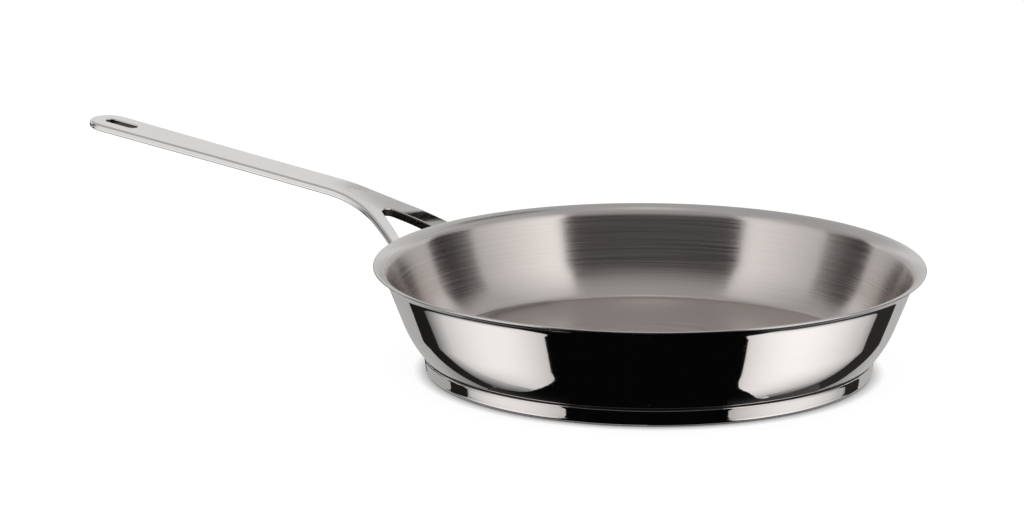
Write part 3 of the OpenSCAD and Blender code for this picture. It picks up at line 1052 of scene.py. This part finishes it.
@dataclass(frozen=True)
class Panel:
    """A graded panel hung far from the set, seen only by what mirrors it.

    The inside, the rim and the handle's top mirror the panels above the table.
    The outer wall leans out, so that it mirrors those below, as a glass table does.

    Attributes:
        name: Name of the panel.
        side: Above or below the table.
        stations: Cuts across the panel. Each has the turn, climb and tone at one
            edge and then at the other. A turn of 0 is behind the camera and
            positive is on its right, and both angles are in degrees.
        crown: Tone added halfway across, fading to nothing at both edges.
    """

    name: str
    side: Side
    stations: tuple[tuple[float, float, float, float, float, float], ...]
    crown: float = 0.0


# Each panel hangs a little nearer than those before it, so a later one covers
# an earlier one where they overlap.
PANELS: tuple[Panel, ...] = (
    Panel("ceiling", Side.ABOVE, (
        (-180, 46, 0.47, 180, 46, 0.47), (-180, 78, 0.47, 180, 78, 0.47),
        (-180, 89.9, 0.85, 180, 89.9, 0.85))),
    Panel("backdrop", Side.ABOVE, (
        (110, -2, 0.50, 250, -2, 0.50), (110, 11, 0.62, 250, 11, 0.62),
        (110, 18, 0.86, 250, 18, 0.86), (108, 21, 0.80, 252, 21, 0.78),
        (100, 27, 0.64, 260, 27, 0.58), (90, 35, 0.58, 270, 35, 0.46),
        (90, 50, 0.50, 270, 50, 0.47))),
    Panel("fill_over_arm", Side.ABOVE, (
        (146, 26, 0.62, 176, 26, 0.74), (144, 38, 0.62, 172, 38, 0.60),
        (146, 52, 0.62, 166, 52, 0.50))),
    Panel("softbox_left", Side.ABOVE, (
        (-38, -2, 1.22, -96, -2, 0.62), (-38, 26, 1.22, -96, 26, 0.60),
        (-38, 42, 1.12, -98, 37, 0.50), (-46, 53, 1.00, -100, 50, 0.46),
        (-50, 60, 0.48, -100, 58, 0.46))),
    Panel("softbox_right", Side.ABOVE, (
        (38, -2, 1.44, 96, -2, 0.56), (38, 26, 1.44, 96, 26, 0.56),
        (38, 42, 1.30, 98, 37, 0.50), (46, 53, 1.05, 100, 50, 0.46),
        (50, 60, 0.48, 100, 58, 0.46))),
    Panel("flag_behind_camera", Side.ABOVE, (
        (-45, -2, 0.035, 42, -2, 0.035), (-45.5, 36, 0.05, 42.5, 36, 0.05),
        (-46.5, 42, 0.17, 43.5, 42, 0.17), (-50, 49, 0.40, 48, 49, 0.40),
        (-54, 56, 0.47, 52, 56, 0.47))),
    Panel("strip_left", Side.ABOVE, (
        (-88, -2, 0.32, -118, -2, 0.05), (-89, 24, 0.32, -118, 24, 0.07),
        (-93, 31, 0.46, -118, 31, 0.5)), -0.11),
    Panel("strip_right", Side.ABOVE, (
        (90, -2, 0.24, 118, -2, 0.03), (91, 24, 0.24, 118, 24, 0.06),
        (94, 31, 0.45, 118, 31, 0.5)), -0.10),
    Panel("flag_over_arm", Side.ABOVE, (
        (134.5, 46, 0.005, 148, 46, 0.005), (134.5, 64, 0.005, 148, 64, 0.005))),
    Panel("grey_below", Side.BELOW, (
        (120, 0, 0.55, 246, 0, 0.50), (122, 14, 0.50, 246, 14, 0.40),
        (138, 24, 0.54, 236, 24, 0.44), (144, 30, 0.46, 226, 30, 0.46),
        (140, 36, 0.34, 224, 36, 0.34), (140, 46, 0.22, 220, 46, 0.22),
        (140, 60, 0.10, 220, 60, 0.10))),
    Panel("softbox_below_left", Side.BELOW, (
        (-40, 0, 0.46, -108, 0, 0.38), (-40, 24, 0.44, -108, 22, 0.40),
        (-40, 32, 0.48, -124, 28, 0.62), (-48, 40, 0.60, -123, 34, 0.66),
        (-55, 49, 0.62, -123, 44, 0.62), (-57, 55, 0.50, -122, 52, 0.48),
        (-61, 60, 0.36, -120, 60, 0.36), (-65, 64, 0.24, -118, 64, 0.24)), 0.47),
    Panel("softbox_below_right", Side.BELOW, (
        (38, 0, 0.34, 112, 0, 0.30), (38, 24, 0.34, 112, 18, 0.32),
        (38, 32, 0.40, 134, 27, 0.56), (45, 41, 0.64, 129, 33, 0.60),
        (50, 50, 0.66, 126, 43, 0.58), (53, 56, 0.58, 124, 52, 0.46),
        (57, 61, 0.46, 121, 59, 0.38), (60, 68, 0.30, 118, 68, 0.28)), 0.58),
    Panel("fringe_below_left", Side.BELOW, (
        (-104, 10, 0.45, -112, 10, 0.30), (-104, 23, 0.48, -112, 24, 0.30),
        (-122, 28, 0.62, -133, 28, 0.14), (-121, 34, 0.68, -132, 34, 0.14),
        (-119, 44, 0.62, -133, 44, 0.08), (-112, 54, 0.54, -131, 53, 0.05),
        (-102, 61, 0.44, -124, 59, 0.04))),
    Panel("fringe_below_right", Side.BELOW, (
        (108, 8, 0.50, 117, 8, 0.30), (108, 18, 0.50, 117, 18, 0.30),
        (132, 27, 0.68, 139, 27, 0.28), (127, 33, 0.68, 134, 33, 0.24),
        (124, 47, 0.56, 132, 47, 0.12), (114, 61, 0.40, 126, 59, 0.05))),
    Panel("arm_fill", Side.BELOW, (
        (-100, 2, 0.44, -130, 2, 0.38), (-100, 16, 0.44, -130, 16, 0.38))),
    Panel("tip_flag", Side.BELOW, (
        (-128, 2, 0.008, -200, 2, 0.008), (-128, 14.2, 0.008, -200, 14.2, 0.008),
        (-128, 16, 0.008, -165, 16, 0.008))),
    Panel("strip_below_left", Side.BELOW, (
        (-110, 17, 0.012, -127, 17, 0.012), (-110, 24, 0.014, -127, 22, 0.014),
        (-133, 28, 0.014, -145.5, 26.5, 0.014), (-132.2, 31, 0.014, -143.2, 29, 0.014),
        (-129.8, 33, 0.014, -143.4, 33, 0.014), (-129.2, 37, 0.016, -143, 38, 0.016),
        (-131, 46, 0.020, -142.4, 43, 0.020), (-132, 50, 0.020, -142, 48, 0.020))),
    Panel("strip_below_right", Side.BELOW, (
        (115, 8, 0.020, 136, 8, 0.020), (115, 18, 0.020, 136, 17, 0.020),
        (137, 27, 0.026, 151, 24, 0.026), (132, 33, 0.026, 149, 33, 0.026),
        (132, 40, 0.026, 149, 37, 0.026), (131, 46, 0.030, 146, 43, 0.030))),
    Panel("black_below_left", Side.BELOW, (
        (-90, 61.5, 0.002, -90, 89.9, 0.002), (-100, 61.3, 0.003, -100, 89.9, 0.002),
        (-108, 60.6, 0.004, -108, 89.9, 0.002), (-115, 59.4, 0.006, -115, 89.9, 0.002),
        (-121, 57.5, 0.008, -121, 89.9, 0.002), (-127, 54, 0.016, -127, 89.9, 0.002),
        (-133, 49, 0.030, -133, 89.9, 0.002), (-150, 44, 0.050, -150, 89.9, 0.002))),
    Panel("black_below_right", Side.BELOW, (
        (82, 63.6, 0.002, 82, 89.9, 0.002), (100, 64, 0.004, 100, 89.9, 0.002),
        (112, 63.5, 0.010, 112, 89.9, 0.002), (118, 62.6, 0.020, 118, 89.9, 0.002),
        (122, 61, 0.030, 122, 89.9, 0.002), (127, 54, 0.060, 127, 89.9, 0.002),
        (130, 46, 0.070, 130, 89.9, 0.002), (150, 42, 0.080, 150, 89.9, 0.002))),
    Panel("black_below_front", Side.BELOW, (
        (-45, 0, 0.002, 43.6, 0, 0.002), (-45, 34, 0.002, 43.6, 34, 0.002),
        (-61, 49, 0.002, 58.5, 49, 0.002), (-60, 52.5, 0.002, 57.5, 52.5, 0.002),
        (-62, 55, 0.002, 59.5, 55, 0.002), (-66, 57.5, 0.002, 63, 58, 0.002),
        (-73, 59.5, 0.002, 69, 61, 0.002), (-80, 60.7, 0.002, 74, 62.6, 0.002),
        (-92, 61.6, 0.002, 84, 63.7, 0.002), (-95, 89.9, 0.002, 88, 89.9, 0.002))),
    Panel("black_underneath", Side.BELOW, (
        (-180, 66, 0.002, -180, 89.9, 0.002), (-140, 58, 0.002, -140, 89.9, 0.002),
        (-120, 70, 0.002, -120, 89.9, 0.002), (120, 70, 0.002, 120, 89.9, 0.002),
        (140, 58, 0.002, 140, 89.9, 0.002), (180, 58, 0.002, 180, 89.9, 0.002))),
)


@dataclass(frozen=True)
class CameraRig:
    """The photograph's camera, in the pan's frame and in metres."""

    place: Point3 = (1.5389, -2.4628, 0.7526)
    axis: Point3 = (-0.5351, 0.8123, -0.2320)
    roll: float = 0.2169
    lens: float = 207.44

    def build(self) -> None:
        """Create the camera and make it the scene's."""
        data = bpy.data.cameras.new("camera")
        data.sensor_width = 36.0
        data.lens = self.lens
        data.clip_start, data.clip_end = 0.1, 100.0
        obj = bpy.data.objects.new("camera", data)
        bpy.context.scene.collection.objects.link(obj)
        look = Vector(self.axis).normalized()
        turn = look.to_track_quat("-Z", "Y").to_matrix().to_4x4()
        obj.matrix_world = (Matrix.Translation(self.place) @ turn
                            @ Matrix.Rotation(math.radians(self.roll), 4, "Z"))
        bpy.context.scene.camera = obj


@dataclass
class Studio:
    """Pale table, soft light, and the panels that the polished steel mirrors.

    Distances are in metres. The table glows for the camera and darkens within
    shade_reach of what stands on it.
    """

    camera: CameraRig
    table: float = 14.0
    shell: float = 16.0
    shell_gap: float = 0.25
    light: float = 0.80
    table_glow: float = 0.80
    open_glow: float = 1.12
    shade_reach: float = 0.007
    lamp_size: float = 1.8
    lamp_power: float = 14.0
    lamp_place: Point3 = (0.4, -0.5, 2.6)

    def seen(self, tree: bpy.types.NodeTree) -> bpy.types.NodeSocket:
        """Tell what looks at a surface from what lights it.

        Args:
            tree: Node tree of a material or the world.

        Returns:
            Socket that is 1 where the camera, a mirror or glass looks, and 0 for
            soft light.
        """
        path = add_node(tree, "ShaderNodeLightPath")
        most = add_node(tree, "ShaderNodeMath", {"operation": "MAXIMUM"},
                        {0: path.outputs["Is Camera Ray"], 1: path.outputs["Is Glossy Ray"]})
        return add_node(tree, "ShaderNodeMath", {"operation": "MAXIMUM"},
                        {0: most.outputs[0], 1: path.outputs["Is Transmission Ray"]}).outputs[0]

    def world(self) -> None:
        """White surroundings that light the pan at a plain level."""
        world = bpy.data.worlds.new("studio")
        world.use_nodes = True
        bpy.context.scene.world = world
        tree = world.node_tree
        tree.nodes.clear()
        level = add_node(tree, "ShaderNodeMapRange", inputs={
            "Value": self.seen(tree), "To Min": self.light, "To Max": 1.0})
        back = add_node(tree, "ShaderNodeBackground", inputs={
            "Color": linear("#FFFFFF"), "Strength": level.outputs[0]})
        add_node(tree, "ShaderNodeOutputWorld", inputs={"Surface": back.outputs[0]})

    def sheet(self, name: str, corners: Sequence[Point3], faces: Sequence[Sequence[int]],
              mat: bpy.types.Material) -> bpy.types.Object:
        """Link a flat or bent sheet to the scene as part of the stage.

        Args:
            name: Name of the sheet.
            corners: Its points, in metres.
            faces: Its faces, as indices of the points.
            mat: Its material.

        Returns:
            The sheet's object.
        """
        mesh = bpy.data.meshes.new(name)
        mesh.from_pydata(corners, [], faces)
        mesh.materials.append(mat)
        obj = bpy.data.objects.new(name, mesh)
        bpy.context.scene.collection.objects.link(obj)
        return obj

    def floor(self) -> None:
        """White table that keeps the pan's soft shadow."""
        mat = bpy.data.materials.new("white_table")
        mat.use_nodes = True
        tree = mat.node_tree
        tree.nodes.clear()
        share = add_node(tree, "ShaderNodeMath", {"operation": "MULTIPLY"},
                         {0: self.seen(tree), 1: self.table_glow})
        matt = add_node(tree, "ShaderNodeBsdfDiffuse", inputs={"Color": linear("#F4F4F4")})
        near = add_node(tree, "ShaderNodeAmbientOcclusion", {"samples": 8},
                        {"Color": linear("#FFFFFF"), "Distance": self.shade_reach})
        level = add_node(tree, "ShaderNodeMath", {"operation": "MULTIPLY"},
                         {0: near.outputs["AO"], 1: self.open_glow})
        glow = add_node(tree, "ShaderNodeEmission", inputs={
            "Color": linear("#FFFFFF"), "Strength": level.outputs[0]})
        mixed = add_node(tree, "ShaderNodeMixShader", inputs={
            0: share.outputs[0], 1: matt.outputs[0], 2: glow.outputs[0]})
        add_node(tree, "ShaderNodeOutputMaterial", inputs={"Surface": mixed.outputs[0]})
        half, height = self.table, -0.0004
        corners = [(-half, -half, height), (half, -half, height), (half, half, height),
                   (-half, half, height)]
        table = self.sheet("table", corners, [(0, 1, 2, 3)], mat)
        table.visible_glossy = False

    def panel_material(self) -> bpy.types.Material:
        """Make the glow that follows a panel's tone from point to point.

        Returns:
            The material that all panels share.
        """
        mat = bpy.data.materials.new("studio_panel")
        mat.use_nodes = True
        tree = mat.node_tree
        tree.nodes.clear()
        tone = add_node(tree, "ShaderNodeAttribute", {"attribute_name": "tone"})
        shade = add_node(tree, "ShaderNodeEmission", inputs={
            "Color": linear("#FFFFFF"), "Strength": tone.outputs["Fac"]})
        add_node(tree, "ShaderNodeOutputMaterial", inputs={"Surface": shade.outputs[0]})
        return mat

    def spot(self, turn: float, climb: float, side: Side, away: float) -> Point3:
        """Find a place round the set.

        Args:
            turn: Turn from the camera, in degrees.
            climb: Climb from the table, in degrees.
            side: Above or below the table.
            away: Distance from the middle of the base.

        Returns:
            The place, in metres.
        """
        home = math.atan2(self.camera.place[1], self.camera.place[0])
        a, b = home + math.radians(turn), math.radians(climb)
        return (away * math.cos(b) * math.cos(a), away * math.cos(b) * math.sin(a),
                away * math.sin(b) * side.value)

    def panel(self, panel: Panel, away: float, mat: bpy.types.Material) -> None:
        """Hang one panel, and hide it from everything but reflections.

        Args:
            panel: The panel.
            away: Distance from the middle of the base.
            mat: Material of the panels.
        """
        across, along = 24, 8
        corners: list[Point3] = []
        tones: list[float] = []
        for start, end in zip(panel.stations, panel.stations[1:]):
            for i in range(along + 1):
                cut = [a + (b - a) * i / along for a, b in zip(start, end)]
                for j in range(across + 1):
                    turn, climb, tone = (a + (b - a) * j / across
                                         for a, b in zip(cut[:3], cut[3:]))
                    share = j / across
                    corners.append(self.spot(turn, climb, panel.side, away))
                    tones.append(tone + panel.crown * 4 * share * (1 - share))
        width = across + 1
        faces = [(i * width + j, i * width + j + 1, (i + 1) * width + j + 1, (i + 1) * width + j)
                 for i in range(len(corners) // width - 1) if (i + 1) % (along + 1)
                 for j in range(across)]
        obj = self.sheet(panel.name, corners, faces, mat)
        obj.data.attributes.new("tone", "FLOAT", "POINT").data.foreach_set("value", tones)
        obj.visible_camera = False
        obj.visible_diffuse = False
        obj.visible_shadow = False
        obj.visible_transmission = False
        obj.visible_volume_scatter = False

    def lamp(self) -> None:
        """One broad lamp overhead, which grounds the pan with a soft shadow."""
        data = bpy.data.lights.new("overhead_lamp", "AREA")
        data.shape, data.size, data.energy = "DISK", self.lamp_size, self.lamp_power
        obj = bpy.data.objects.new("overhead_lamp", data)
        obj.location = self.lamp_place
        obj.rotation_euler = Vector(obj.location).to_track_quat("Z", "Y").to_euler()
        obj.visible_glossy = False
        obj.visible_camera = False
        bpy.context.scene.collection.objects.link(obj)

    def build(self) -> None:
        """Set up the whole studio."""
        self.world()
        self.floor()
        mat = self.panel_material()
        for order, panel in enumerate(PANELS):
            self.panel(panel, self.shell - self.shell_gap * order, mat)
        self.lamp()
        bpy.context.scene.view_settings.view_transform = "Standard"


def report(name: str, obj: bpy.types.Object) -> None:
    """Log a piece's size and its number of faces.

    Args:
        name: What the piece is called in the log.
        obj: The piece.
    """
    LOG.info("%s: %d faces, %s m", name, len(obj.data.polygons),
             " x ".join(f"{v:.4f}" for v in obj.dimensions))


def main() -> None:
    """Build the studio and the pan, sub-assembly by sub-assembly."""
    logging.basicConfig(level=logging.INFO, format="%(name)s %(message)s")
    camera = CameraRig()
    camera.build()
    Studio(camera).build()
    pan = PanBody()
    base = HeatBase(pan)
    handle = ForkedHandle(pan)
    pan.build()
    base.build()
    handle.build()
    beads = WeldBeads(handle.seams)
    beads.build()
    for part in (pan, base, handle, beads):
        part.place()
    for name, obj in (("pan sheet", pan.piece), ("capsule", base.capsule), ("seam", base.seam),
                      ("disc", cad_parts["base_core"]), ("handle", handle.piece),
                      *beads.pieces.items()):
        report(name, obj)


if __name__ == "__main__":
    main()
